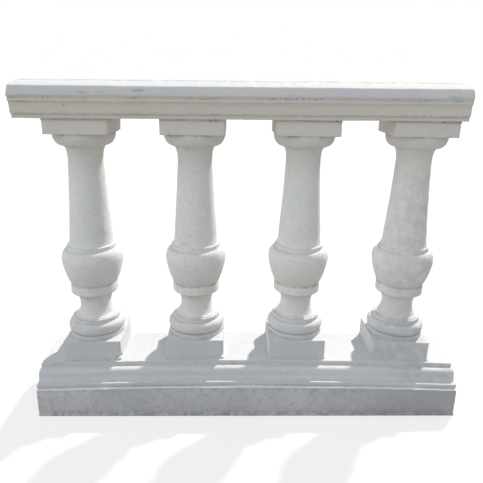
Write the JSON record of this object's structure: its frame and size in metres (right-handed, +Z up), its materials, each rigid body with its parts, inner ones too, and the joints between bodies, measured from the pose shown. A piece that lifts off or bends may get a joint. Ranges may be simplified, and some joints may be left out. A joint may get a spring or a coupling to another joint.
{
  "type": "concrete balustrade",
  "caption": "Straight precast concrete balustrade unit: moulded top rail on turned vase balusters, standing on a moulded bottom rail and a plain ground course.",
  "frame": {"origin": "on the ground under the plain course, midway along it and on the balusters' centre line", "axes": "+X along the row to the right as seen from the front, +Y from front to back, +Z up"},
  "size_m": [1.1275, 0.282, 0.867],
  "materials": {
    "limewash": "cast concrete with a worn matt white limewash",
    "bare_concrete": "bare cast concrete, rough, mottled grey",
    "mortar": "sand and cement mortar, rough, raked back"
  },
  "bodies": {
    "root": {"base_course": "bare_concrete", "course_bed": "mortar", "bottom_rail": "limewash", "foot_bed_1": "mortar", "foot_bed_2": "mortar", "foot_bed_3": "mortar", "foot_bed_4": "mortar", "baluster_1": "limewash", "baluster_2": "limewash", "baluster_3": "limewash", "baluster_4": "limewash", "head_bed_1": "mortar", "head_bed_2": "mortar", "head_bed_3": "mortar", "head_bed_4": "mortar", "top_rail": "limewash"}
  },
  "joints": []
}
